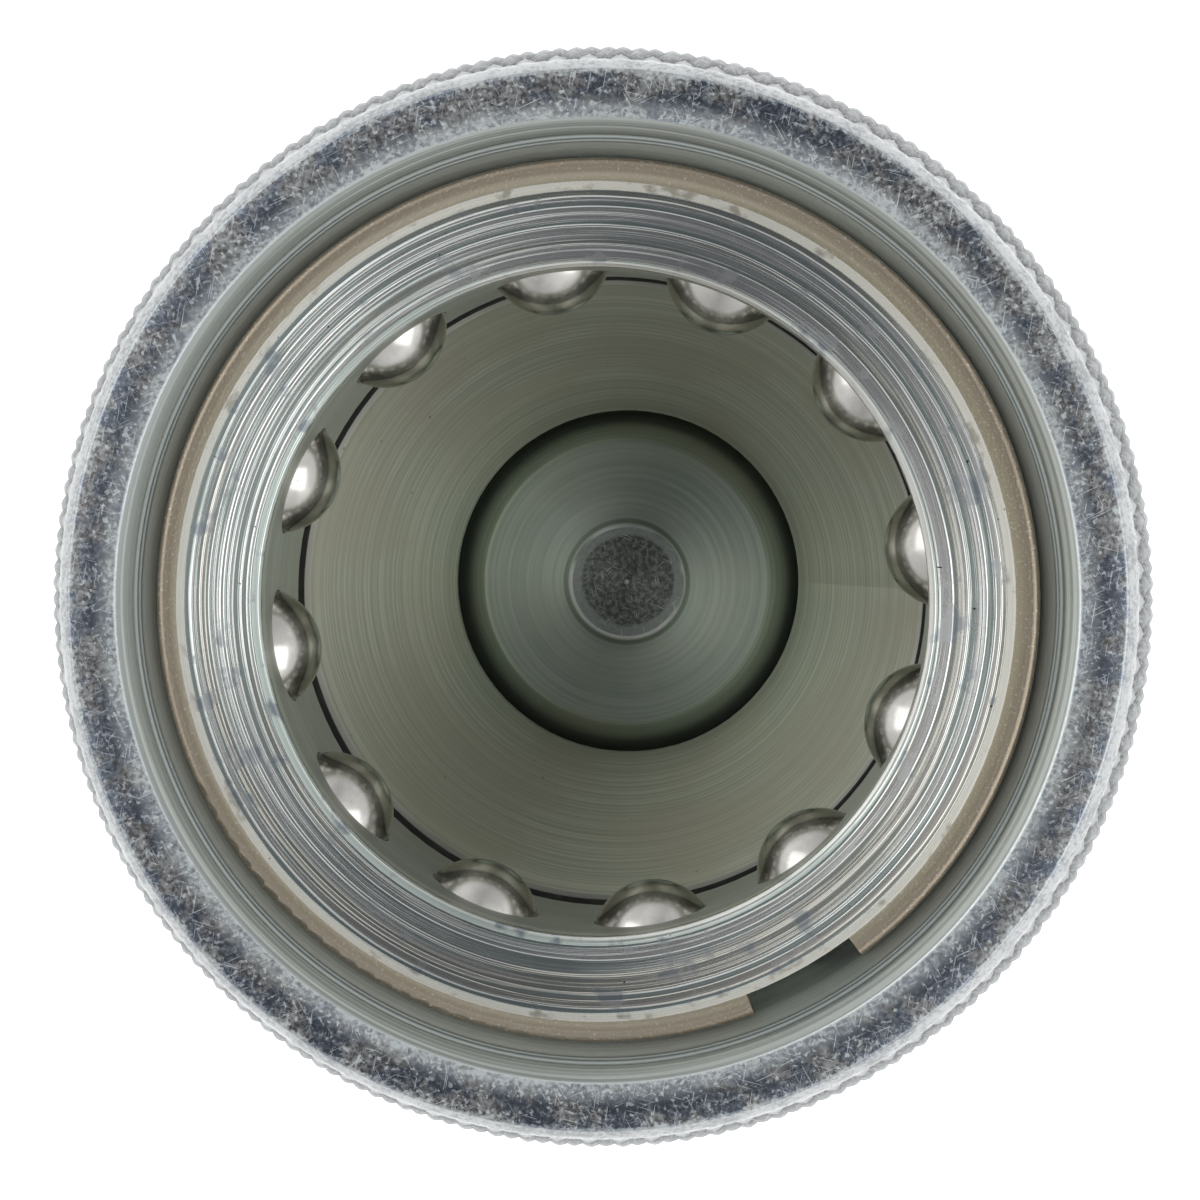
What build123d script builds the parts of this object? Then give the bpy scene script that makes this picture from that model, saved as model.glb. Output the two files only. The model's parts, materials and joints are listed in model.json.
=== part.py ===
from build123d import *
from math import sqrt
import os

# Ball-lock quick disconnect coupler, the socket half, in millimetres.
# The axis is Z. The rear face stands on z = 0 and the mouth looks up.

# Plug socket
total_length = 92.0
bore_radius = 15.75            # takes a plug tip 31.4 mm across
mouth_bore_radius = 15.8       # the bore widens a little from behind the balls to the mouth
mouth_edge_radius = 16.2
seal_bore_top = 81.9           # the parallel bore ends here, just behind the balls
running_gap = 0.05             # radial gap of a fit

# Socket body
body_radius = 19.85
body_front_chamfer = 0.45
ring_groove_radius = 18.85
ring_groove_top = 89.95
ring_groove_width = 1.65
flange_radius = 22.45
flange_top = 61.8
flange_bottom = 57.8
body_end = 38.0
joint_thread_radius = 17.0     # the body screws into the adapter
joint_thread_end = 46.0
pilot_radius = 16.2
cavity_radius = 13.0

# Plug seal and the cone that stops the plug
plug_seal_wire = 2.4
plug_gland_top = 77.3
plug_gland_bottom = 74.7
plug_gland_radius = 18.05
plug_seal_inner_radius = 15.6
cone_mouth_radius = 15.45
throat_radius = 9.1
throat_top = 62.1
throat_bottom = 61.3           # the 45 degree valve seat starts here

# Locking balls
ball_count = 12
ball_radius = 3.0
ball_circle = 16.85
ball_height = 85.2
ball_phase = 8.7               # degrees from +X to the first ball

# Outer sleeve
sleeve_top = 90.8
sleeve_length = 34.0
sleeve_radius = 26.57
sleeve_skirt_radius = 26.1
sleeve_face_outer_radius = 25.14
sleeve_face_inner_radius = 22.9
sleeve_shoulder_radius = 25.45
shoulder_height = 90.4
sleeve_nose_arc = 10.0         # radius of the rounded front of the knurled band
knurl_bottom = 62.8
sleeve_wall_radius = 21.8
stop_shoulder_top = 89.3       # the shoulder that rests on the retaining ring
ramp_radius = 21.15            # the ramp frees the balls as it passes them
ramp_top = 88.4
ramp_bottom = 84.9
land_radius = 19.95            # holds the balls in
land_bottom = 77.8             # the spring pushes here
spring_chamber_radius = 22.6

# Retaining ring of the sleeve
ring_outer_radius = 21.05
ring_inner_radius = 18.9
ring_thickness = 1.5
ring_gap_start = 291.0         # degrees from +X
ring_gap_end = 307.0

# Sleeve spring and valve spring
sleeve_spring_radius = 21.2
sleeve_spring_wire = 1.5
sleeve_spring_turns = 5.0
valve_spring_radius = 6.5
valve_spring_wire = 1.5
valve_spring_turns = 6.5

# Valve
valve_nose_radius = 3.1
valve_nose_top = 62.5
valve_face_radius = 7.63
valve_face_top = 62.05
valve_rim_bottom = 59.6
valve_core_radius = 8.4
valve_core_bottom = 58.3
seal_seat_gap = 0.03
seal_outer_radius = 11.6
washer_radius = 10.9
washer_bottom = 57.1
stem_radius = 2.5
stem_thread_top = 61.0
stem_shoulder_radius = 4.2
stem_shoulder_bottom = 55.1
stem_end = 29.0

# Valve guide
guide_bottom = 35.5
guide_rim_inner_radius = 12.6
guide_flange_radius = 7.6
guide_boss_radius = 5.6
guide_boss_top = 39.2
guide_hub_radius = 4.6
guide_hub_end = 25.0
guide_leg_count = 3
guide_leg_width = 4.0

# Adapter with the rear port, G 3/4
hex_across_flats = 41.0
hex_length = 32.0
hex_chamfer_radius = 20.9
hex_chamfer_height = 1.6
collar_radius = 21.9
collar_bottom = 46.0
waist_radius = 20.4
port_minor_radius = 12.06
port_mouth_radius = 13.4
port_depth = 18.0
joint_seal_wire = 1.78
joint_gland_radius = 14.6
joint_gland_top = 43.6
joint_gland_bottom = 39.8
backup_ring_thickness = 1.3


def coil_line(height, radius, wire, turns):
    """The centre line of a coil spring that fits a space of the given height."""
    return Helix(pitch=(height - wire) / turns, height=height - wire, radius=radius)


# The socket body: a turned tube with the ball holes, the plug seal's gland, the plug's stop
# cone, the valve seat, and a threaded tail that screws into the adapter.
with BuildPart() as socket_body:
    with BuildSketch(Plane.XZ):
        with BuildLine():
            Polyline(
                (mouth_edge_radius, total_length),
                (body_radius - body_front_chamfer, total_length),
                (body_radius, total_length - body_front_chamfer),
                (body_radius, ring_groove_top),
                (ring_groove_radius, ring_groove_top),
                (ring_groove_radius, ring_groove_top - ring_groove_width),
                (body_radius, ring_groove_top - ring_groove_width),
                (body_radius, flange_top),
                (flange_radius, flange_top),
                (flange_radius, flange_bottom),
                (joint_thread_radius, flange_bottom),
                (joint_thread_radius, joint_thread_end),
                (pilot_radius, joint_thread_end),
                (pilot_radius, joint_gland_top),
                (joint_gland_radius, joint_gland_top),
                (joint_gland_radius, joint_gland_bottom),
                (pilot_radius, joint_gland_bottom),
                (pilot_radius, body_end),
                (cavity_radius, body_end),
                (cavity_radius, throat_bottom - (cavity_radius - throat_radius)),
                (throat_radius, throat_bottom),
                (throat_radius, throat_top),
                (cone_mouth_radius, plug_gland_bottom),
                (plug_gland_radius, plug_gland_bottom),
                (plug_gland_radius, plug_gland_top),
                (bore_radius, plug_gland_top),
                (bore_radius, seal_bore_top),
                (mouth_bore_radius, total_length - (mouth_edge_radius - mouth_bore_radius)),
                close=True,
            )
        make_face()
    revolve(axis=Axis.Z)
    with Locations((0, 0, ball_height)):
        with PolarLocations(ball_circle, ball_count, start_angle=ball_phase):
            Sphere(ball_radius + running_gap, mode=Mode.SUBTRACT)
            Cylinder(
                ball_radius + running_gap,
                body_radius,
                rotation=(0, 90, 0),
                align=(Align.CENTER, Align.CENTER, Align.MIN),
                mode=Mode.SUBTRACT,
            )
socket_body.part.label = "socket_body"
export_step(socket_body.part, "parts/socket_body.step")

# The adapter: a hexagon and a round collar in one piece, the threaded rear port, and the
# counterbore that takes the body's tail and clamps the valve guide.
with BuildPart() as adapter:
    with BuildSketch(Plane.XY):
        RegularPolygon(hex_across_flats / 2, 6, major_radius=False)
    extrude(amount=hex_length)
    with BuildSketch(Plane.XZ):
        with BuildLine():
            Polyline(
                (0, 0),
                (hex_chamfer_radius, 0),
                (hex_across_flats * 0.6, hex_chamfer_height),
                (hex_across_flats * 0.6, hex_length - hex_chamfer_height),
                (hex_chamfer_radius, hex_length),
                (0, hex_length),
                close=True,
            )
        make_face()
    revolve(axis=Axis.Z, mode=Mode.INTERSECT)
    with BuildSketch(Plane.XZ):
        with BuildLine():
            Polyline(
                (0, hex_length - hex_chamfer_height),
                (waist_radius, hex_length - hex_chamfer_height),
                (waist_radius, collar_bottom - (collar_radius - waist_radius)),
                (collar_radius, collar_bottom),
                (collar_radius, flange_bottom - 0.5),
                (collar_radius - 0.5, flange_bottom),
                (0, flange_bottom),
                close=True,
            )
        make_face()
    revolve(axis=Axis.Z)
    with BuildSketch(Plane.XZ):
        with BuildLine():
            Polyline(
                (0, 0),
                (port_mouth_radius, 0),
                (port_minor_radius, port_mouth_radius - port_minor_radius),
                (port_minor_radius, port_depth),
                (cavity_radius, port_depth + cavity_radius - port_minor_radius),
                (cavity_radius, guide_bottom),
                (pilot_radius + running_gap, guide_bottom),
                (pilot_radius + running_gap, joint_thread_end - 0.3),
                (joint_thread_radius + running_gap, joint_thread_end - 0.3),
                (joint_thread_radius + running_gap, flange_bottom),
                (0, flange_bottom),
                close=True,
            )
        make_face()
    revolve(axis=Axis.Z, mode=Mode.SUBTRACT)
adapter.part.label = "adapter"
export_step(adapter.part, "parts/adapter.step")

# The outer sleeve: knurled outside, and inside a wall and a ramp that free the balls, a land
# that locks them, and the spring chamber.
with BuildPart() as sleeve:
    with BuildSketch(Plane.XZ):
        with BuildLine():
            nose_end = shoulder_height - sqrt(
                sleeve_nose_arc**2 - (sleeve_nose_arc - sleeve_radius + sleeve_shoulder_radius) ** 2
            )
            Polyline((sleeve_face_outer_radius, sleeve_top), (sleeve_shoulder_radius, shoulder_height))
            RadiusArc(
                (sleeve_shoulder_radius, shoulder_height),
                (sleeve_radius, nose_end),
                sleeve_nose_arc,
            )
            Polyline(
                (sleeve_radius, nose_end),
                (sleeve_radius, knurl_bottom),
                (sleeve_skirt_radius, knurl_bottom - 0.5),
                (sleeve_skirt_radius, sleeve_top - sleeve_length + 0.6),
                (sleeve_skirt_radius - 0.6, sleeve_top - sleeve_length),
                (spring_chamber_radius + 0.5, sleeve_top - sleeve_length),
                (spring_chamber_radius, sleeve_top - sleeve_length + 0.5),
                (spring_chamber_radius, land_bottom),
                (land_radius, land_bottom),
                (land_radius, ramp_bottom),
                (ramp_radius, ramp_top),
                (sleeve_wall_radius, stop_shoulder_top),
                (sleeve_wall_radius, sleeve_top - 0.9),
                (sleeve_wall_radius + 0.35, sleeve_top - 0.8),
                (sleeve_face_inner_radius, sleeve_top),
                (sleeve_face_outer_radius, sleeve_top),
            )
        make_face()
    revolve(axis=Axis.Z)
sleeve.part.label = "sleeve"
export_step(sleeve.part, "parts/sleeve.step")

# The retaining ring: a split ring of rounded section in the body's groove, the sleeve's stop.
with BuildPart() as sleeve_retaining_ring:
    with BuildSketch(Plane.XZ):
        with Locations(
            (
                (ring_outer_radius + ring_inner_radius) / 2,
                ring_groove_top - ring_groove_width / 2,
            )
        ):
            RectangleRounded(ring_outer_radius - ring_inner_radius, ring_thickness, 0.35)
    revolve(axis=Axis.Z)
    with BuildSketch(Plane.XY.offset(ring_groove_top - ring_groove_width)):
        with BuildLine():
            gap_start = PolarLine((0, 0), body_radius * 2, ring_gap_start)
            gap_end = PolarLine((0, 0), body_radius * 2, ring_gap_end)
            Line(gap_start @ 1, gap_end @ 1)
        make_face()
    extrude(amount=ring_groove_width, mode=Mode.SUBTRACT)
sleeve_retaining_ring.part.label = "sleeve_retaining_ring"
export_step(sleeve_retaining_ring.part, "parts/sleeve_retaining_ring.step")

# The sleeve spring, between the body's flange and the sleeve's land.
with BuildPart() as sleeve_spring:
    with BuildLine(Plane.XY.offset(flange_top + sleeve_spring_wire / 2)):
        sleeve_coil = coil_line(
            land_bottom - flange_top, sleeve_spring_radius, sleeve_spring_wire, sleeve_spring_turns
        )
    with BuildSketch(Plane(origin=sleeve_coil @ 0, z_dir=sleeve_coil % 0)):
        Circle(sleeve_spring_wire / 2)
    sweep(is_frenet=True)
sleeve_spring.part.label = "sleeve_spring"
export_step(sleeve_spring.part, "parts/sleeve_spring.step")

# The locking balls, numbered anticlockwise from +X as seen from the mouth.
for number in range(1, ball_count + 1):
    start_angle = ball_phase + (number - 1) * 360 / ball_count
    with BuildPart() as ball:
        with Locations((0, 0, ball_height)):
            with PolarLocations(ball_circle, 1, start_angle=start_angle):
                Sphere(ball_radius)
    ball.part.label = f"ball_{number:02d}"
    export_step(ball.part, f"parts/ball_{number:02d}.step")

# The plug seal, an O-ring in its gland.
with BuildPart() as plug_seal:
    with BuildSketch(Plane.XZ):
        with Locations(
            (plug_seal_inner_radius + plug_seal_wire / 2, (plug_gland_top + plug_gland_bottom) / 2)
        ):
            Circle(plug_seal_wire / 2)
    revolve(axis=Axis.Z)
plug_seal.part.label = "plug_seal"
export_step(plug_seal.part, "parts/plug_seal.step")

# The joint seal between the body's tail and the adapter, and its backup ring behind it.
with BuildPart() as joint_seal:
    with BuildSketch(Plane.XZ):
        with Locations(
            (
                (joint_gland_radius + pilot_radius + running_gap) / 2,
                joint_gland_top - joint_seal_wire / 2,
            )
        ):
            Ellipse((pilot_radius + running_gap - joint_gland_radius) / 2, joint_seal_wire / 2)
    revolve(axis=Axis.Z)
joint_seal.part.label = "joint_seal"
export_step(joint_seal.part, "parts/joint_seal.step")

with BuildPart() as joint_backup_ring:
    with BuildSketch(Plane.XZ):
        with Locations(
            (
                (joint_gland_radius + pilot_radius) / 2,
                joint_gland_bottom + backup_ring_thickness / 2,
            )
        ):
            Rectangle(pilot_radius - joint_gland_radius, backup_ring_thickness)
    revolve(axis=Axis.Z)
joint_backup_ring.part.label = "joint_backup_ring"
export_step(joint_backup_ring.part, "parts/joint_backup_ring.step")

# The valve head: a flat nose disc, a shallow cone, a 45 degree flank and a core behind the rim.
flank_sum = valve_face_radius + valve_face_top
with BuildPart() as valve_head:
    with BuildSketch(Plane.XZ):
        with BuildLine():
            Polyline(
                (0, valve_nose_top),
                (valve_nose_radius, valve_nose_top),
                (valve_nose_radius + 0.2, valve_nose_top - 0.1),
                (valve_face_radius - 0.2, valve_face_top + 0.05),
                (valve_face_radius, valve_face_top - 0.05),
                (flank_sum - 0.1 - valve_rim_bottom, valve_rim_bottom),
                (valve_core_radius, valve_rim_bottom),
                (valve_core_radius, valve_core_bottom),
                (stem_radius, valve_core_bottom),
                (stem_radius, stem_thread_top),
                (0, stem_thread_top),
                close=True,
            )
        make_face()
    revolve(axis=Axis.Z)
valve_head.part.label = "valve_head"
export_step(valve_head.part, "parts/valve_head.step")

# The valve seal: a moulded ring, its outer edge cut at 45 degrees to match the seat.
seat_sum = throat_radius + throat_bottom - seal_seat_gap * sqrt(2)
with BuildPart() as valve_seal:
    with BuildSketch(Plane.XZ):
        with BuildLine():
            Polyline(
                (valve_core_radius + running_gap, valve_rim_bottom),
                (seat_sum - valve_rim_bottom, valve_rim_bottom),
                (seal_outer_radius, seat_sum - seal_outer_radius),
                (seal_outer_radius, valve_core_bottom),
                (valve_core_radius + running_gap, valve_core_bottom),
                close=True,
            )
        make_face()
    revolve(axis=Axis.Z)
valve_seal.part.label = "valve_seal"
export_step(valve_seal.part, "parts/valve_seal.step")

# The seal washer clamps the seal against the rim, and the valve spring pushes on it.
with BuildPart() as seal_washer:
    with BuildSketch(Plane.XZ):
        with BuildLine():
            Polyline(
                (stem_radius + running_gap, valve_core_bottom),
                (washer_radius, valve_core_bottom),
                (washer_radius, washer_bottom + 0.3),
                (washer_radius - 0.3, washer_bottom),
                (stem_radius + running_gap, washer_bottom),
                close=True,
            )
        make_face()
    revolve(axis=Axis.Z)
seal_washer.part.label = "seal_washer"
export_step(seal_washer.part, "parts/seal_washer.step")

# The valve stem: its thread holds the head, its shoulder clamps the washer.
with BuildPart() as valve_stem:
    with BuildSketch(Plane.XZ):
        with BuildLine():
            Polyline(
                (0, stem_thread_top - 0.2),
                (stem_radius - running_gap, stem_thread_top - 0.2),
                (stem_radius - running_gap, washer_bottom),
                (stem_shoulder_radius, washer_bottom),
                (stem_shoulder_radius, stem_shoulder_bottom + 0.4),
                (stem_shoulder_radius - 0.4, stem_shoulder_bottom),
                (stem_radius, stem_shoulder_bottom),
                (stem_radius, stem_end + 0.8),
                (stem_radius - 0.8, stem_end),
                (0, stem_end),
                close=True,
            )
        make_face()
    revolve(axis=Axis.Z)
valve_stem.part.label = "valve_stem"
export_step(valve_stem.part, "parts/valve_stem.step")

# The valve spring, between the guide and the seal washer.
with BuildPart() as valve_spring:
    with BuildLine(Plane.XY.offset(body_end + valve_spring_wire / 2)):
        valve_coil = coil_line(
            washer_bottom - body_end, valve_spring_radius, valve_spring_wire, valve_spring_turns
        )
    with BuildSketch(Plane(origin=valve_coil @ 0, z_dir=valve_coil % 0)):
        Circle(valve_spring_wire / 2)
    sweep(is_frenet=True)
valve_spring.part.label = "valve_spring"
export_step(valve_spring.part, "parts/valve_spring.step")

# The valve guide: a spider with a clamped rim, three legs, a spring seat and a long hub.
with BuildPart() as valve_guide:
    with BuildSketch(Plane.XY.offset(guide_bottom)):
        Circle(pilot_radius)
        Circle(guide_rim_inner_radius, mode=Mode.SUBTRACT)
        Circle(guide_flange_radius)
        with PolarLocations(0, guide_leg_count, start_angle=90):
            Rectangle(
                guide_rim_inner_radius + 1, guide_leg_width, align=(Align.MIN, Align.CENTER)
            )
    extrude(amount=body_end - guide_bottom)
    with BuildSketch(Plane.XZ):
        with BuildLine():
            Polyline(
                (0, guide_hub_end),
                (guide_hub_radius - 0.8, guide_hub_end),
                (guide_hub_radius, guide_hub_end + 0.8),
                (guide_hub_radius, guide_bottom - 2),
                (guide_hub_radius + 2, guide_bottom),
                (guide_boss_radius, body_end),
                (guide_boss_radius, guide_boss_top - 0.4),
                (guide_boss_radius - 0.4, guide_boss_top),
                (0, guide_boss_top),
                close=True,
            )
        make_face()
    revolve(axis=Axis.Z)
    with BuildSketch(Plane.XY.offset(guide_hub_end)):
        Circle(stem_radius + running_gap)
    extrude(amount=guide_boss_top - guide_hub_end, mode=Mode.SUBTRACT)
valve_guide.part.label = "valve_guide"
export_step(valve_guide.part, "parts/valve_guide.step")
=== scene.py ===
"""A ball-lock quick disconnect coupler, socket half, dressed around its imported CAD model.

Lengths are written in millimetres and turned into metres where a mesh is made.
"""

import json

import bpy
import numpy as np
from mathutils import Matrix, Vector


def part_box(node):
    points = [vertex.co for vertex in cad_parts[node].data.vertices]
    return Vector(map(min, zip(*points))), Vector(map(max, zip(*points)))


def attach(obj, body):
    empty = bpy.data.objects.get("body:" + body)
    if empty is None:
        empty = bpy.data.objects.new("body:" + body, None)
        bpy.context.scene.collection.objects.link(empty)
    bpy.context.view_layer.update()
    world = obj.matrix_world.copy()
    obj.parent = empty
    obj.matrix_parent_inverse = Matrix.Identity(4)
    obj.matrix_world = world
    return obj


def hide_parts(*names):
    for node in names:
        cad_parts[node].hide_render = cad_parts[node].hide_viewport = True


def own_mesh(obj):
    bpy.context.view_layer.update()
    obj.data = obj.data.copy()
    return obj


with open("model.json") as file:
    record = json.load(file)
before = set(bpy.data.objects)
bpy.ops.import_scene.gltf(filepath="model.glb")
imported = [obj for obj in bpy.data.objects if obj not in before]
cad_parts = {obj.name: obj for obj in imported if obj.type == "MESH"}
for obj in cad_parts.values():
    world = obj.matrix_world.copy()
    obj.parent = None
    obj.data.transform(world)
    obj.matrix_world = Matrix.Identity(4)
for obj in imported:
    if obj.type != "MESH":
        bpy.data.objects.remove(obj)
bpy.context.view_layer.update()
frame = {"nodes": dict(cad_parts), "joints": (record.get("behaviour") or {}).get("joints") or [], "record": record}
MM = 0.001
TURN = 2 * np.pi


def cad_size(node):
    """(widest radius, lowest z, highest z) of a CAD node, in millimetres."""
    low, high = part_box(node)
    return high.x / MM, low.z / MM, high.z / MM


# ---------------------------------------------------------------- sizes

SLEEVE_RADIUS, SLEEVE_BOTTOM, SLEEVE_TOP = cad_size("sleeve")
MOUTH_TOP = cad_size("socket_body")[2]
JOINT_HEIGHT = cad_size("adapter")[2]
NOSE_TOP = cad_size("valve_head")[2]
BODY_TAIL = cad_size("socket_body")[1]
WASHER_BOTTOM = cad_size("seal_washer")[1]
SPRING_SEAT, SPRING_TOP = 61.8, 77.8

# The knurl: teeth round the sleeve, mesh steps to a tooth, a tooth's length and depth, the rows of
# the whole band, and the plain collar above it.
TOOTH_COUNT = 107
TOOTH_STEPS = 8
TOOTH_LENGTH, TOOTH_DEPTH = 2.2, 0.42
TOOTH_STEP = TOOTH_LENGTH / TOOTH_STEPS
BAND_ROWS = 84
BAND_TOP = SLEEVE_TOP - 0.4
BAND_BOTTOM = BAND_TOP - TOOTH_STEP * (BAND_ROWS - 1)
COLLAR = 0.5
FINE_PER_COARSE = 4

# The sleeve: the arc over its nose, the skirt below the knurl, and its steps inside.
NOSE_ARC, NOSE_LENGTH = 10.0, 5.0
SKIRT_RADIUS, CHAMBER_RADIUS, LAND_RADIUS = 26.1, 22.6, 19.95
LAND_TOP, RAMP_RADIUS, RAMP_TOP, WALL_RADIUS = 84.9, 21.15, 88.4, 21.8

# The arc that stands for each corner of a turned profile has this many points.
ROUND_STEPS = 4


# ---------------------------------------------------------------- camera

CAMERA_DISTANCE = 231.0
CAMERA_TILT = np.radians(4.1)
CAMERA_SIDE = np.radians(32.4)
CAMERA_AIM = (0.25, 0.10, SLEEVE_TOP)
CAMERA_LENS = 146.5
LAMP_LINE = np.radians(-19)


def look_from(obj, place, aim, up=(0, 1, 0)):
    """Turns obj, put at place, so that its -Z looks at aim and its +Y is as near up as it can be."""
    back = (Vector(place) - Vector(aim)).normalized()
    side = Vector(up).cross(back).normalized()
    over = back.cross(side)
    turn = Matrix((side, over, back)).transposed()
    obj.matrix_world = Matrix.Translation(place) @ turn.to_4x4()


def add_camera():
    """A long lens above the mouth, a few degrees off the axis."""
    lean = CAMERA_DISTANCE * np.sin(CAMERA_TILT)
    place = (
        lean * np.cos(CAMERA_SIDE),
        lean * np.sin(CAMERA_SIDE),
        SLEEVE_TOP + CAMERA_DISTANCE * np.cos(CAMERA_TILT),
    )
    camera = bpy.data.objects.new("camera", bpy.data.cameras.new("camera"))
    camera.data.lens = CAMERA_LENS
    camera.data.sensor_width = 36
    camera.data.clip_start, camera.data.clip_end = 0.01, 10
    bpy.context.collection.objects.link(camera)
    look_from(camera, [v * MM for v in place], [v * MM for v in CAMERA_AIM])
    bpy.context.scene.camera = camera


# ---------------------------------------------------------------- meshes


def new_piece(name, points, faces, smooth_angle=35):
    """A mesh object at the origin from points in millimetres and a list of faces."""
    mesh = bpy.data.meshes.new(name)
    mesh.from_pydata((points * MM).tolist(), [], faces)
    mesh.validate()
    mesh.shade_smooth()
    mesh.set_sharp_from_angle(angle=np.radians(smooth_angle))
    piece = bpy.data.objects.new(name, mesh)
    bpy.context.collection.objects.link(piece)
    return piece


def grid_faces(rows, columns, close_rows=False, close_columns=True):
    """Quads between neighbouring rows and columns of a grid, joined up again where it closes."""
    row = np.arange(rows if close_rows else rows - 1)[:, None]
    column = np.arange(columns if close_columns else columns - 1)[None, :]
    next_row, next_column = (row + 1) % rows, (column + 1) % columns
    corners = (
        row * columns + column,
        row * columns + next_column,
        next_row * columns + next_column,
        next_row * columns + column,
    )
    return np.stack(np.broadcast_arrays(*corners), -1).reshape(-1, 4)


def turned(radius, height, angle):
    """Points of a turned surface: (r cos a, r sin a, z) for every row's r and z and every angle a."""
    radius, height, angle = np.broadcast_arrays(radius, height, angle)
    return np.stack((radius * np.cos(angle), radius * np.sin(angle), height), -1).reshape(-1, 3)


def rounded(outline, radius=0.15, steps=ROUND_STEPS):
    """A closed outline of (r, z) corners with each corner traded for an arc.

    The arc touches both sides at the same distance from the corner, and its points come from the
    quadratic curve through those two touching points with the corner as its control point.
    """
    corner = np.asarray(outline, float)
    before = np.roll(corner, 1, 0) - corner
    after = np.roll(corner, -1, 0) - corner
    before_length = np.linalg.norm(before, axis=1, keepdims=True)
    after_length = np.linalg.norm(after, axis=1, keepdims=True)
    cut = np.minimum(radius, 0.45 * np.minimum(before_length, after_length))
    start = corner + before / before_length * cut
    end = corner + after / after_length * cut
    t = np.linspace(0, 1, steps)[None, :, None]
    curve = (1 - t) ** 2 * start[:, None] + 2 * t * (1 - t) * corner[:, None] + t**2 * end[:, None]
    return curve.reshape(-1, 2)


def diamond_height(around, along):
    """How far a diamond knurl stands up, from 0 in a groove to 1 on a tooth.

    Two families of V grooves wind opposite ways: m is the lower of two triangle waves, one of
    around + along and one of around - along, and the height is 1 - (1 - m) to the power 1.5,
    which rounds the tips a little.
    """
    left = np.abs(2 * ((around + along) % 1) - 1)
    right = np.abs(2 * ((around - along) % 1) - 1)
    lower = np.minimum(1 - left, 1 - right)
    return 1 - (1 - lower) ** 1.5


def knurl_faces(teeth):
    """Two triangles for each quad of the knurl, split along whichever diagonal lies in the groove."""
    rows, columns = teeth.shape
    quads = grid_faces(rows, columns)
    height = teeth.reshape(-1)[quads]
    first = height[:, 0] + height[:, 2] <= height[:, 1] + height[:, 3]
    a, b, c, d = quads.T
    one = np.where(first, (a, b, c), (a, b, d)).T
    two = np.where(first, (a, c, d), (b, c, d)).T
    return np.concatenate((one, two))


def knurled_sleeve():
    """The outer sleeve: a closed turned profile whose outer band is cut by the diamond knurl.

    In the band the radius is the plain profile's less the knurl's depth times (1 - tooth height).
    The plain profile is a cylinder that bends in over the nose on an arc. The rest of the profile
    has fewer columns, and a row of wider faces joins it to the band at each end.
    """
    bottom, top = SLEEVE_BOTTOM, SLEEVE_TOP
    height = BAND_TOP - TOOTH_STEP * np.arange(BAND_ROWS)
    past_bend = np.clip(height - (top - NOSE_LENGTH), 0, None)
    plain = SLEEVE_RADIUS - NOSE_ARC + np.sqrt(NOSE_ARC**2 - past_bend**2)
    columns = TOOTH_COUNT * TOOTH_STEPS
    around = np.arange(columns)[None, :] / TOOTH_STEPS
    teeth = diamond_height(around, np.arange(BAND_ROWS)[:, None] / TOOTH_STEPS)
    run_in = np.clip((BAND_TOP - COLLAR - height) / TOOTH_STEP * 0.45, 0, 1)
    run_out = np.clip((height - BAND_BOTTOM) / TOOTH_STEP * 0.7, 0, 1)
    cut = TOOTH_DEPTH * (run_in * run_out)[:, None] * (1 - teeth)
    angle = np.arange(columns)[None, :] / columns * TURN
    band = turned(plain[:, None] - cut, height[:, None], angle)

    skirt = rounded(
        [
            (SLEEVE_RADIUS, BAND_BOTTOM),
            (SKIRT_RADIUS, BAND_BOTTOM - 0.5),
            (SKIRT_RADIUS, bottom + 0.6),
            (SKIRT_RADIUS - 0.6, bottom),
            (CHAMBER_RADIUS + 0.5, bottom),
            (CHAMBER_RADIUS, bottom + 0.5),
            (CHAMBER_RADIUS, SPRING_TOP),
            (LAND_RADIUS, SPRING_TOP),
            (LAND_RADIUS, LAND_TOP),
            (RAMP_RADIUS, RAMP_TOP),
            (WALL_RADIUS, top - 1.5),
            (21.82, top - 1.27),
            (21.93, top - 1.25),
            (21.95, top - 1.02),
            (22.1, top - 1.0),
            (22.15, top - 0.8),
            (22.9, top),
            (25.14, top),
            (25.45, BAND_TOP),
        ],
        radius=0.12,
    )
    skirt = skirt[ROUND_STEPS:-ROUND_STEPS]
    coarse = columns // FINE_PER_COARSE
    coarse_angle = np.arange(coarse)[None, :] / coarse * TURN
    points = np.concatenate((band, turned(skirt[:, :1], skirt[:, 1:], coarse_angle)))

    start = len(band)
    column = np.arange(coarse)[:, None]
    fine = (column * FINE_PER_COARSE + np.arange(FINE_PER_COARSE + 1)) % columns
    next_column = (column + 1) % coarse
    last_row = (BAND_ROWS - 1) * columns
    below = np.hstack((fine[:, ::-1] + last_row, start + column, start + next_column))
    upper = start + (len(skirt) - 1) * coarse
    above = np.hstack((fine, upper + next_column, upper + column))
    rest = grid_faces(len(skirt), coarse)[:, ::-1] + start
    faces = knurl_faces(teeth)[:, ::-1].tolist() + rest.tolist() + below.tolist() + above.tolist()
    return new_piece("knurled_sleeve", points, faces, smooth_angle=65)


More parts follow.
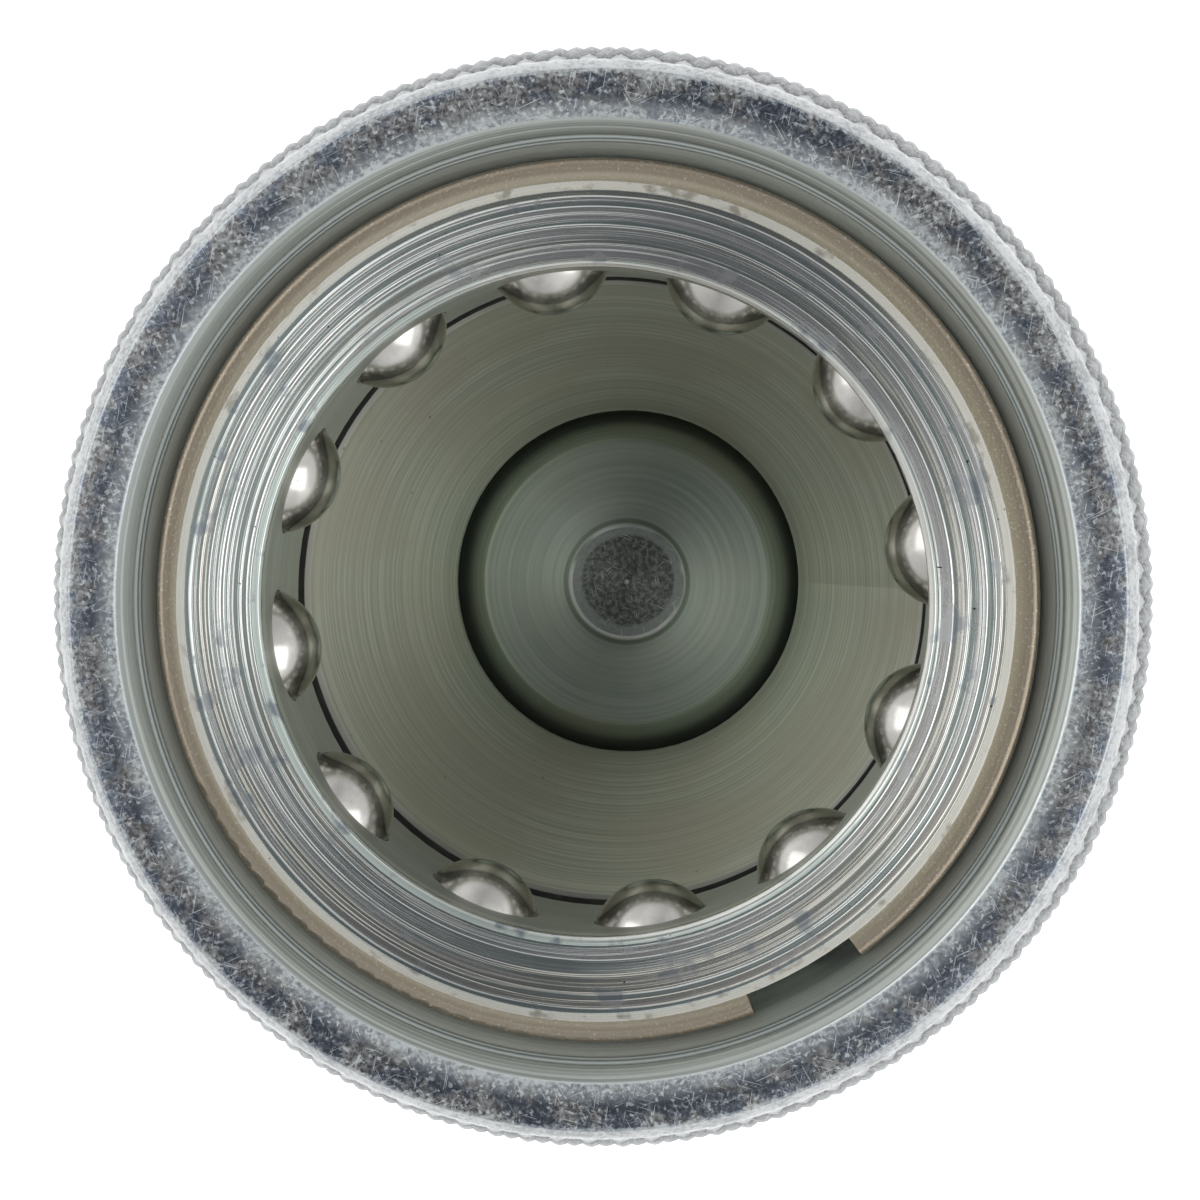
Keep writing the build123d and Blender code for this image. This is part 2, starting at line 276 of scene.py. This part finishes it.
def coil_spring(name, radius, wire, low, high, active_turns):
    """A compression spring: a circle carried along a helix whose first and last turns are closed.

    The helix rises by one wire thickness over each closed end turn and evenly in between, and the
    wire is ground flat where it would pass the seats at low and high.
    """
    turns = active_turns + 2
    steps_per_turn, half_window, ground = 60, 15, wire * 0.12
    along = np.linspace(0, turns, int(turns * steps_per_turn) + 1)
    closed_rise = wire * 1.02
    free_rise = (high - low - wire - 2 * closed_rise) / active_turns
    rate = np.where((along < 1) | (along > turns - 1), closed_rise, free_rise)
    window = 2 * half_window + 1
    rate = np.pad(rate, half_window, mode="edge")
    rate = np.convolve(rate, np.ones(window) / window, mode="valid")
    rise = np.concatenate(([0], np.cumsum((rate[1:] + rate[:-1]) / 2 * np.diff(along))))
    rise = rise / rise[-1] * (high - low - wire) + low + wire / 2
    around = np.arange(16) / 16 * TURN
    ring_radius = radius + wire / 2 * np.cos(around)[None, :]
    ring_height = rise[:, None] + wire / 2 * np.sin(around)[None, :]
    ring_height = np.clip(ring_height, low + ground, high - ground)
    points = turned(ring_radius, ring_height, (along * TURN)[:, None])
    first_end = list(range(len(around)))
    last_end = [(len(along) - 1) * len(around) + i for i in reversed(first_end)]
    faces = grid_faces(len(along), len(around))[:, ::-1].tolist() + [first_end, last_end]
    return new_piece(name, points, faces, smooth_angle=40)


def threaded_adapter():
    """The adapter: hexagon, waist and collar outside, threaded port and counterbore inside.

    Outside, a row's radius is the lower of the turned profile and, below the waist, the
    hexagon's half width over cos(angle from the nearest flat). In the port the radius is the
    thread's minor radius plus its depth times a triangle wave of height / pitch + angle / turn,
    with the crests and roots cut flat.
    """
    columns = 288
    angle = np.arange(columns) / columns * TURN
    half_flats, hex_top = 20.5, 32.0
    chamfer_radius, corner_radius, chamfer_height = 20.9, 24.6, 1.6
    rows = (np.linspace(0, 2.2, 12), np.linspace(3, 29, 14), np.linspace(29.8, hex_top, 12))
    height = np.concatenate(rows)
    from_end = np.minimum(height, hex_top - height)
    chamfer = chamfer_radius + from_end * (corner_radius - chamfer_radius) / chamfer_height
    to_flat = (angle + TURN / 12) % (TURN / 6) - TURN / 12
    hexagon = np.minimum(half_flats / np.cos(to_flat)[None, :], chamfer[:, None])
    outside = turned(hexagon, height[:, None], angle[None, :])
    neck = rounded(
        [
            (20.4, hex_top + 0.02),
            (20.4, 44.5),
            (21.9, 46.0),
            (21.9, JOINT_HEIGHT - 0.5),
            (21.4, JOINT_HEIGHT),
            (17.05, JOINT_HEIGHT),
            (17.05, 45.7),
            (16.25, 45.7),
            (16.25, 35.5),
            (13.0, 35.5),
            (13.0, 18.94),
            (12.06, 18.0),
        ],
        radius=0.25,
    )[ROUND_STEPS - 1 : 1 - ROUND_STEPS]
    pitch, minor, major = 1.814, 12.06, 13.22
    port_height = np.linspace(17.8, 0, 120)
    phase = (port_height[:, None] / pitch + angle[None, :] / TURN) % 1
    cut = np.clip(1.25 * (1 - np.abs(2 * phase - 1)) - 0.125, 0, 1)
    fade = np.clip((16.5 - port_height) / 1.5, 0, 1)[:, None]
    mouth = np.clip(13.4 - port_height, minor, None)[:, None]
    port_radius = np.maximum(minor + (major - minor) * cut * fade, mouth)
    port = turned(port_radius, port_height[:, None], angle[None, :])
    points = np.concatenate((outside, turned(neck[:, :1], neck[:, 1:], angle[None, :]), port))
    faces = grid_faces(len(height) + len(neck) + len(port_height), columns, close_rows=True)
    return new_piece("threaded_adapter", points, faces.tolist(), smooth_angle=30)


# ---------------------------------------------------------------- shader writing


class Signal:
    """A node's output that can be used in a sum: each operator adds one Math node."""

    def __init__(self, nodes, socket):
        self.nodes = nodes
        self.socket = socket

    def __add__(self, other):
        return self.nodes.math("ADD", self, other)

    def __sub__(self, other):
        return self.nodes.math("SUBTRACT", self, other)

    def __rsub__(self, other):
        return self.nodes.math("SUBTRACT", other, self)

    def __mul__(self, other):
        return self.nodes.math("MULTIPLY", self, other)

    def __truediv__(self, other):
        return self.nodes.math("DIVIDE", self, other)

    def __pow__(self, other):
        return self.nodes.math("POWER", self, other)

    __radd__ = __add__
    __rmul__ = __mul__


class Nodes:
    """A node tree being written. add() makes any node; the rest are short forms of it."""

    def __init__(self, tree):
        self.tree = tree
        tree.nodes.clear()

    def add(self, kind, settings=None, inputs=None, output=0):
        """A node of a kind, with its settings made first, then its inputs set or linked."""
        node = self.tree.nodes.new(kind)
        for key, value in (settings or {}).items():
            setattr(node, key, value)
        for key, value in (inputs or {}).items():
            if isinstance(value, Signal):
                self.tree.links.new(value.socket, node.inputs[key])
            else:
                node.inputs[key].default_value = value
        return None if output is None else Signal(self, node.outputs[output])

    def math(self, operation, *values):
        return self.add("ShaderNodeMath", {"operation": operation}, dict(enumerate(values)))

    def step(self, value, low, high):
        """0 below low, 1 above high and smooth between; low may be the larger."""
        inputs = {"Value": value, "From Min": low, "From Max": high}
        return self.add("ShaderNodeMapRange", {"interpolation_type": "SMOOTHSTEP"}, inputs)

    def mix(self, factor, first, second):
        """The colour first where factor is 0, second where it is 1."""
        colours = [c if isinstance(c, Signal) else (*c, 1) for c in (first, second)]
        inputs = {0: factor, 6: colours[0], 7: colours[1]}
        return self.add("ShaderNodeMix", {"data_type": "RGBA"}, inputs, output=2)

    def vector(self, x, y, z):
        return self.add("ShaderNodeCombineXYZ", None, {0: x, 1: y, 2: z})

    def noise(self, place, scale=1.0, detail=2.0, roughness=0.5):
        inputs = {"Vector": place, "Scale": scale, "Detail": detail, "Roughness": roughness}
        return self.add("ShaderNodeTexNoise", None, inputs)


class Finish(Nodes):
    """A material being written for a turned piece, with its own places in millimetres.

    x, y and z are the place on the piece, r is the distance from the axis, and along and across
    are the cosine and sine of the angle round it.
    """

    def __init__(self, name):
        self.material = bpy.data.materials.new(name)
        self.material.use_nodes = True
        super().__init__(self.material.node_tree)
        metres = self.add("ShaderNodeTexCoord", output=3)
        scaled = {"operation": "SCALE"}
        self.place = self.add("ShaderNodeVectorMath", scaled, {0: metres, "Scale": 1 / MM})
        parts = [self.add("ShaderNodeSeparateXYZ", None, {0: self.place}, output=i) for i in range(3)]
        self.x, self.y, self.z = parts
        self.r = (self.x * self.x + self.y * self.y) ** 0.5
        self.along = self.x / (self.r + 0.001)
        self.across = self.y / (self.r + 0.001)

    def turning_marks(self, per_mm, drift=0.6, seed=0.0, detail=1.0):
        """Noise that changes fast with r and z and slowly round the axis, as a tool leaves it."""
        across_tool = self.vector(self.r * per_mm, self.z * per_mm, self.along * drift)
        inputs = {"Vector": across_tool, "W": self.across * drift + seed, "Scale": 1.0, "Detail": detail}
        return self.add("ShaderNodeTexNoise", {"noise_dimensions": "4D"}, inputs)

    def scratches(self, angles, length, width, cover):
        """Short straight scratches in a few directions: noise stretched along each and cut high."""
        total = 0.0
        for number, angle in enumerate(angles):
            mapping = {
                "Vector": self.place,
                "Location": (7.3 * number, 3.1 * number, 0),
                "Rotation": (0, 0, np.radians(angle)),
                "Scale": (length, width, width),
            }
            laid = self.add("ShaderNodeMapping", {"vector_type": "TEXTURE"}, mapping)
            lines = self.noise(laid, detail=0.0)
            total = self.step(lines, cover, cover + 0.06) + total
        return self.math("MINIMUM", total, 1.0)

    def bump(self, height, depth):
        """The surface normal for a height from 0 to 1 that stands for a depth in millimetres."""
        return self.add("ShaderNodeBump", None, {"Height": height, "Distance": depth * MM})

    def metal(self, colour, roughness, normal=None, **more):
        """Ends the material as a bare metal."""
        inputs = {"Base Color": colour, "Roughness": roughness, "Metallic": 1.0, **more}
        if normal is not None:
            inputs["Normal"] = normal
        return self.end(inputs)

    def end(self, inputs):
        """Joins a Principled shader with these inputs to the material's output."""
        if not isinstance(inputs["Base Color"], Signal):
            inputs["Base Color"] = (*inputs["Base Color"], 1)
        surface = self.add("ShaderNodeBsdfPrincipled", None, inputs)
        self.add("ShaderNodeOutputMaterial", None, {"Surface": surface}, output=None)
        return self.material


# ---------------------------------------------------------------- finishes

ZINC_TAN = (0.64, 0.60, 0.50)
DIRT_BROWN = (0.07, 0.05, 0.04)
TURNED = {"Anisotropic": 0.7, "Anisotropic Rotation": 0.25}


def body_zinc():
    """The socket body: a coarsely faced front with worn tool lines, and a smooth sage passivate
    with faint lines down the bore and the funnel, and painted shade darkening the bore round the balls."""
    f = Finish("body_zinc")
    front = f.step(f.z, MOUTH_TOP - 1.3, MOUTH_TOP - 0.7)
    # where painted shade darkens the bore round the balls, further down
    shaded_bore = f.step(f.z, 76.0, 78.0) * f.step(f.z, MOUTH_TOP - 1.4, MOUTH_TOP - 2.2)
    cuts = f.turning_marks(3.5, drift=0.22, detail=2.2)
    tints = f.turning_marks(2.0, drift=0.5, seed=9.0, detail=1.0)
    fine = f.turning_marks(6.5, drift=0.25, seed=5.0, detail=0.0)
    rim = f.step(f.r, 19.38, 19.46)
    patches = f.noise(f.place, scale=0.14, detail=3.0)
    blotches = f.step(f.noise(f.place, scale=0.7, detail=3.0), 0.58, 0.70)
    hairs = f.scratches((12, 67, 131), length=0.9, width=0.04, cover=0.81)
    specks = f.step(f.noise(f.place, scale=2.6, detail=1.0), 0.79, 0.82)
    ridge = f.step(cuts + (patches - 0.5) * 0.3, 0.40, 0.60)

    faced = f.mix(ridge, (0.58, 0.65, 0.62), (0.88, 0.88, 0.85))
    faced = f.mix(f.step(tints, 0.50, 0.62) * 0.5, faced, ZINC_TAN)
    faced = f.mix(blotches * (0.85 - ridge * 0.45), faced, (0.22, 0.25, 0.29))
    faced = f.mix(rim * 0.8, faced, f.mix(blotches, (0.72, 0.70, 0.62), (0.42, 0.38, 0.30)))
    faced = f.mix(hairs * 0.3, faced, (0.80, 0.82, 0.82))
    faced = f.mix(specks, faced, DIRT_BROWN)
    sage = f.mix(f.step(cuts * 0.4 + fine * 0.6, 0.35, 0.65), (0.60, 0.62, 0.54), (0.76, 0.77, 0.69))
    sage = f.mix(f.step(patches, 0.45, 0.62) * 0.5, sage, (0.66, 0.62, 0.53))
    sage = f.mix(specks, sage, (0.42, 0.41, 0.35))
    # painted shade: the bore is darkened where the balls sit in it
    sage = f.mix(shaded_bore * (0.7 - fine * 0.3), sage, (0.34, 0.37, 0.35))

    height = front * (1 - rim * 0.8) * (ridge * 0.8 + fine * 0.3) + (1 - front) * fine * 0.16
    rough = front * (0.25 + 0.08 * blotches) + (1 - front) * (0.34 + 0.08 * fine)
    return f.metal(f.mix(front, sage, faced), rough, f.bump(height, 0.032), **TURNED)


def adapter_zinc():
    """The adapter: smooth turned and milled zinc, with handling marks and a little dirt."""
    f = Finish("adapter_zinc")
    lines = f.turning_marks(5.0, drift=0.6, detail=2.0)
    clouds = f.noise(f.place, scale=0.12, detail=3.0)
    grain = f.noise(f.place, scale=5.0, detail=3.0)
    hairs = f.scratches((18, 82, 140), length=2.4, width=0.08, cover=0.76)
    dirt = f.step(f.noise(f.place, scale=0.7, detail=5.0, roughness=0.7), 0.60, 0.72)
    colour = f.mix(f.step(lines, 0.3, 0.7), (0.29, 0.31, 0.30), (0.38, 0.40, 0.39))
    colour = f.mix(f.step(clouds, 0.45, 0.65) * 0.5, colour, (0.37, 0.38, 0.31))
    colour = f.mix(hairs * 0.6, colour, (0.54, 0.56, 0.55))
    colour = f.mix(dirt * 0.5, colour, (0.20, 0.18, 0.15))
    rough = 0.26 + 0.14 * grain + 0.12 * dirt
    return f.metal(colour, rough, f.bump(lines + grain * 0.5 - hairs * 0.4, 0.008))


def valve_zinc():
    """The valve: a teal passivate with fine turned lines, and an unmachined, mottled dark nose,
    with a painted highlight on its rim and painted shade round its edge.
    """
    f = Finish("valve_zinc")
    edge_radius = 3.1
    nose = f.step(f.r, edge_radius, edge_radius - 0.12) * f.step(f.z, NOSE_TOP - 0.5, NOSE_TOP - 0.4)
    lines = f.turning_marks(6.0, drift=0.4, detail=2.0)
    patches = f.noise(f.place, scale=0.25, detail=2.0)
    grit = f.noise(f.place, scale=3.6, detail=4.0, roughness=0.7)
    pits = f.step(grit, 0.52, 0.62)
    hairs = f.scratches((40, 100, 155), length=0.8, width=0.05, cover=0.75)
    turned_face = f.mix(f.step(lines, 0.3, 0.7), (0.38, 0.45, 0.38), (0.50, 0.56, 0.48))
    turned_face = f.mix(f.step(patches, 0.45, 0.6) * 0.4, turned_face, (0.50, 0.52, 0.42))
    mottled = f.mix(f.step(grit, 0.40, 0.68), (0.10, 0.11, 0.10), (0.27, 0.28, 0.26))
    edge = f.step(f.r + (patches - 0.5) * 0.5, edge_radius - 0.75, edge_radius - 0.55)
    mottled = f.mix(edge * 0.6, mottled, (0.36, 0.40, 0.36))
    bright = f.math("MAXIMUM", hairs * 0.7, f.step(f.r, 0.16, 0.08) * 0.7)
    # painted highlight: broken bright arcs just inside the nose's rim
    rim = f.step(f.r, edge_radius - 0.26, edge_radius - 0.16) * f.step(patches, 0.46, 0.54)
    mottled = f.mix(f.math("MAXIMUM", bright, rim) * 0.8, mottled, (0.70, 0.71, 0.68))
    # painted shade: a dark ring on the face just outside the nose's edge
    outline = f.step(f.r, edge_radius - 0.02, edge_radius + 0.05)
    outline = outline * f.step(f.r, edge_radius + 0.34, edge_radius + 0.20)
    turned_face = f.mix(outline * 0.75, turned_face, (0.16, 0.20, 0.17))
    rough = (1 - nose) * (0.30 + 0.08 * lines) + nose * (0.30 + 0.25 * pits)
    height = (1 - nose) * lines * 0.12 + nose * grit
    return f.metal(f.mix(nose, turned_face, mottled), rough, f.bump(height, 0.03), **TURNED)


def sleeve_zinc():
    """The sleeve: bright worn zinc on the knurl, a dark flecked front face whose darkness is partly a
    painted reflection, sage down the inside with painted light and shade.

    A tooth's height, from 0 in a groove to 1 on its crest, is the distance from the axis less the
    plain profile of the band, over the knurl's depth: the grooves are darkened as painted shade.
    """
    f = Finish("sleeve_zinc")
    on_face = f.step(f.z, SLEEVE_TOP - 0.09, SLEEVE_TOP - 0.03)
    past_bend = f.math("MAXIMUM", f.z - (SLEEVE_TOP - NOSE_LENGTH), 0.0)
    plain = (NOSE_ARC**2 - past_bend * past_bend) ** 0.5 + (SLEEVE_RADIUS - NOSE_ARC)
    tooth = f.step(f.r - plain, -TOOTH_DEPTH, -0.02)
    tooth = f.math("MAXIMUM", tooth, f.step(f.z, BAND_BOTTOM + 0.3, BAND_BOTTOM))
    inside = f.step(f.r, 22.95, 22.85)
    bevel = f.step(f.z, SLEEVE_TOP - 1.15, SLEEVE_TOP - 1.0) * (1 - on_face)
    # the shoulder inside the sleeve and the part deep under the ring, painted paler below as light
    shoulder = f.step(f.z, SLEEVE_TOP - 1.3, SLEEVE_TOP - 1.6) * inside
    under_ring = f.step(f.z, SLEEVE_TOP - 3.3, SLEEVE_TOP - 3.9)
    # the small steps on the inside wall, where painted shade dims the highlight they catch
    dimmed_ledge = f.step(f.z, SLEEVE_TOP - 1.38, SLEEVE_TOP - 1.28) * inside
    dimmed_ledge = dimmed_ledge * f.step(f.z, SLEEVE_TOP - 0.90, SLEEVE_TOP - 1.00)

    flecks = f.noise(f.place, scale=4.0, detail=5.0, roughness=0.70)
    clouds = f.noise(f.place, scale=0.7, detail=3.0)
    hairs = f.scratches((25, 80, 118, 165), length=1.6, width=0.05, cover=0.75)
    lines = f.turning_marks(7.0, drift=0.5, detail=1.0)
    dots = f.step(f.noise(f.place, scale=4.5, detail=1.0), 0.60, 0.70)
    ragged = f.r + (flecks - 0.5) * 1.1 + (clouds - 0.5) * 0.7
    scuffed = f.step(ragged, 24.1, 23.1) + f.step(ragged, 24.85, 25.25) * 0.8
    worn = f.step(flecks + (clouds - 0.5) * 0.6, 0.34, 0.86) * 0.75
    worn = f.math("MINIMUM", worn + hairs * 0.55 + dots * 0.5 + scuffed * (0.2 + flecks * 0.6), 1.0)

    # painted shade: the knurl's grooves are dark and its crests lighter
    knurl = f.mix(tooth, (0.16, 0.16, 0.16), (0.52, 0.54, 0.55))
    knurl = f.mix(f.step(flecks, 0.42, 0.7) * 0.7, knurl, (0.72, 0.74, 0.75))
    scuffs = f.step(flecks + (clouds - 0.5) * 0.5, 0.35, 0.6)
    bright = f.mix(scuffs, (0.50, 0.52, 0.53), (0.78, 0.80, 0.81))
    knurl = f.mix(bevel, knurl, bright)
    sage = f.mix(f.step(lines, 0.35, 0.65), (0.46, 0.50, 0.50), (0.80, 0.84, 0.84))
    # dark zinc, partly darkened as a painted reflection of the dim opening overhead
    dark_zinc_and_reflection = f.mix(f.step(clouds, 0.44, 0.56), (0.23, 0.26, 0.32), (0.25, 0.235, 0.235))
    face = f.mix(worn, dark_zinc_and_reflection, (0.62, 0.67, 0.68))
    colour = f.mix(inside, f.mix(on_face, knurl, face), sage)
    # painted light: the shoulder is made paler, palest deep under the ring, to brighten its shade
    pale = f.mix(under_ring, (0.78, 0.83, 0.79), (0.92, 0.99, 0.93))
    colour = f.mix(shoulder * 0.8, colour, pale)
    # painted shade: the small steps are darkened to dim their highlight
    colour = f.mix(dimmed_ledge * 0.7, colour, (0.40, 0.44, 0.43))
    elsewhere = 0.26 + 0.16 * flecks + inside * 0.16 + (shoulder + dimmed_ledge) * 0.2
    rough = on_face * (0.22 + 0.28 * worn) + (1 - on_face) * elsewhere
    height = on_face * worn * 0.2 + inside * lines * 0.4 + flecks * 0.3
    return f.metal(colour, rough, f.bump(height, 0.02))


def phosphated_steel():
    """The retaining ring's tan phosphate coat, with painted shade on its outer side and a painted highlight along
    its inner side.
    """
    f = Finish("phosphated_steel")
    lines = f.turning_marks(3.0, drift=0.5)
    grain = f.noise(f.place, scale=7.0, detail=3.0)
    colour = f.mix(f.step(lines, 0.3, 0.7), (0.46, 0.41, 0.31), (0.62, 0.56, 0.45))
    # painted shade: the ring is darker towards its outer side
    colour = f.mix(f.step(f.r + (grain - 0.5) * 0.5, 20.1, 20.9) * 0.7, colour, (0.27, 0.22, 0.17))
    # painted highlight: a lighter band along the ring's inner side, with light specks at random
    inner_highlight = f.step(f.r + (grain - 0.5) * 1.2, 19.95, 19.45)
    colour = f.mix(f.math("MAXIMUM", inner_highlight, f.step(grain, 0.56, 0.72) * 0.5), colour, (0.78, 0.74, 0.66))
    return f.metal(colour, 0.36 + 0.12 * grain, f.bump(grain + lines, 0.012))


def bearing_steel():
    """Polished bearing steel, with a film of oil and a few fine scratches."""
    f = Finish("bearing_steel")
    film = f.noise(f.place, scale=0.7, detail=3.0)
    hairs = f.scratches((35, 98), length=1.0, width=0.05, cover=0.78)
    colour = f.mix(f.step(film, 0.4, 0.65), (0.54, 0.53, 0.50), (0.68, 0.66, 0.63))
    return f.metal(colour, 0.14 + 0.12 * film + 0.2 * hairs, f.bump(hairs, 0.002))


def spring_wire():
    """Drawn spring steel with faint die lines and a grey oil bloom."""
    f = Finish("spring_wire")
    bloom = f.noise(f.place, scale=1.1, detail=4.0, roughness=0.6)
    grain = f.noise(f.place, scale=9.0, detail=2.0)
    colour = f.mix(f.step(bloom, 0.4, 0.65), (0.30, 0.30, 0.30), (0.50, 0.49, 0.47))
    return f.metal(colour, 0.28 + 0.2 * bloom, f.bump(grain, 0.006))


def black_rubber():
    """Nitrile rubber: black, satin, with a mould grain and a little grease."""
    f = Finish("black_rubber")
    grain = f.noise(f.place, scale=6.0, detail=4.0)
    grease = f.step(f.noise(f.place, scale=0.6, detail=2.0), 0.45, 0.65)
    colour = f.mix(grain, (0.006, 0.006, 0.006), (0.016, 0.016, 0.015))
    rough = 0.72 - 0.20 * grease + 0.1 * grain
    return f.end({"Base Color": colour, "Roughness": rough, "Normal": f.bump(grain, 0.01)})


def white_ptfe():
    """The backup ring's waxy white plastic, skived, so faintly lined."""
    f = Finish("white_ptfe")
    lines = f.turning_marks(6.0)
    colour = f.mix(lines, (0.72, 0.72, 0.69), (0.84, 0.84, 0.81))
    return f.end({"Base Color": colour, "Roughness": 0.42 + 0.1 * lines, "Normal": f.bump(lines, 0.01)})


def dress(piece, material):
    """Puts a material on every slot of a piece, or in a first slot if it has none."""
    if not piece.material_slots:
        piece.data.materials.append(material)
    for material_slot in piece.material_slots:
        material_slot.material = material


# ---------------------------------------------------------------- studio


def add_floor():
    """A wide pale table, a disc of widening rings, glowing under the coupler in a painted pool of light.

    The pool glows at full strength out to 62 mm and at its weakest from 130 mm on.
    """
    radius = np.concatenate(([0.0], np.geomspace(50, 3000, 16)))[:, None]
    angle = np.arange(64)[None, :] / 64 * TURN
    faces = grid_faces(len(radius), 64)[:, ::-1].tolist()
    floor = new_piece("floor", turned(radius, -0.02, angle), faces)
    f = Finish("pale_table")
    # painted light: the table itself glows, brightest in the pool under the coupler
    glow = f.mix(f.step(f.r, 62, 130), (0.66, 0.66, 0.66), (0.10, 0.10, 0.10))
    table = {"Base Color": (0.86, 0.86, 0.86), "Roughness": 0.8, "Emission Color": glow}
    dress(floor, f.end({**table, "Emission Strength": 1.0}))


def add_world():
    """A white tent with its lamps at either hand, dim overhead where the lens looks in.

    u and v are the direction's parts along and across the line between the lamps. The opening
    overhead is an ellipse in u and v; the tent glows with u squared over (u squared + v squared).
    """
    world = bpy.data.worlds.new("tent")
    world.use_nodes = True
    bpy.context.scene.world = world
    n = Nodes(world.node_tree)
    direction = n.add("ShaderNodeTexCoord", output=0)
    x, y, z = [n.add("ShaderNodeSeparateXYZ", None, {0: direction}, output=i) for i in range(3)]
    cosine, sine = float(np.cos(LAMP_LINE)), float(np.sin(LAMP_LINE))
    u, v = x * cosine + y * sine, y * cosine - x * sine
    opening = n.step((((u + 0.05) / 0.26) ** 2 + ((v + 0.05) / 0.56) ** 2) ** 0.5, 0.55, 1.25)
    sideways = u * u / (u * u + v * v + 0.001)
    above = opening * (0.48 + 0.50 * sideways**0.4)
    glow = above * n.step(z, -0.1, 0.2) + n.step(z, 0.2, -0.1) * 0.5
    light = n.mix(glow, (0.035, 0.04, 0.05), (1.0, 1.0, 1.0))
    background = n.add("ShaderNodeBackground", None, {"Color": light, "Strength": 1.0})
    n.add("ShaderNodeOutputWorld", None, {"Surface": background}, output=None)
    bpy.context.scene.view_settings.view_transform = "Standard"


def add_softbox(name, reach, direction, size, power):
    """A soft rectangular lamp, reach to the side in a direction and as high, turned to the mouth."""
    light = bpy.data.lights.new(name, "AREA")
    light.shape = "RECTANGLE"
    light.size, light.size_y = size[0] * MM, size[1] * MM
    light.energy = power
    lamp = bpy.data.objects.new(name, light)
    bpy.context.collection.objects.link(lamp)
    place = (reach * np.cos(direction), reach * np.sin(direction), SLEEVE_TOP + reach)
    look_from(lamp, [v * MM for v in place], (0, 0, SLEEVE_TOP * MM))


# ---------------------------------------------------------------- the coupler

FINISHES = {
    "zinc_plated_body": body_zinc(),
    "zinc_plated_adapter": adapter_zinc(),
    "zinc_plated_valve": valve_zinc(),
    "zinc_plated_sleeve": sleeve_zinc(),
    "phosphated_ring": phosphated_steel(),
    "spring_steel": spring_wire(),
    "chrome_steel_ball": bearing_steel(),
    "black_rubber": black_rubber(),
    "white_ptfe": white_ptfe(),
}


def add_pieces():
    """The pieces that stand for CAD nodes, and a finish on every piece and node.

    Each coil is given a mesh of its own, and the share of its length it would keep at its joint's full travel is
    worked out but not used.
    """
    slots = {part["node"]: part["material_slot"] for part in frame["record"]["subparts"]}
    for name, node in frame["nodes"].items():
        dress(node, FINISHES[slots[name]])
    sleeve, adapter = knurled_sleeve(), threaded_adapter()
    sleeve_coil = coil_spring("sleeve_coil", 21.2, 1.5, SPRING_SEAT, SPRING_TOP, 4)
    valve_coil = coil_spring("valve_coil", 6.5, 1.5, BODY_TAIL, WASHER_BOTTOM, 5)
    for piece, node, body in (
        (sleeve, "sleeve", "outer_sleeve"),
        (adapter, "adapter", "coupler_body"),
        (sleeve_coil, "sleeve_spring", "coupler_body"),
        (valve_coil, "valve_spring", "coupler_body"),
    ):
        dress(piece, FINISHES[slots[node]])
        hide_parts(node)
        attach(piece, body)
    for coil, joint, seat, top in (
        (sleeve_coil, "sleeve_slide", SPRING_SEAT, SPRING_TOP),
        (valve_coil, "valve_slide", BODY_TAIL, WASHER_BOTTOM),
    ):
        travel = next(j["range_m"][1] for j in frame["joints"] if j["name"] == joint) / MM
        keep = 1 - travel / (top - seat)
        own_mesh(coil)


add_camera()
add_world()
add_floor()
add_softbox("left_softbox", 440, LAMP_LINE + np.pi, (380, 460), 0.55)
add_softbox("right_softbox", 440, LAMP_LINE, (380, 460), 0.7)
add_pieces()
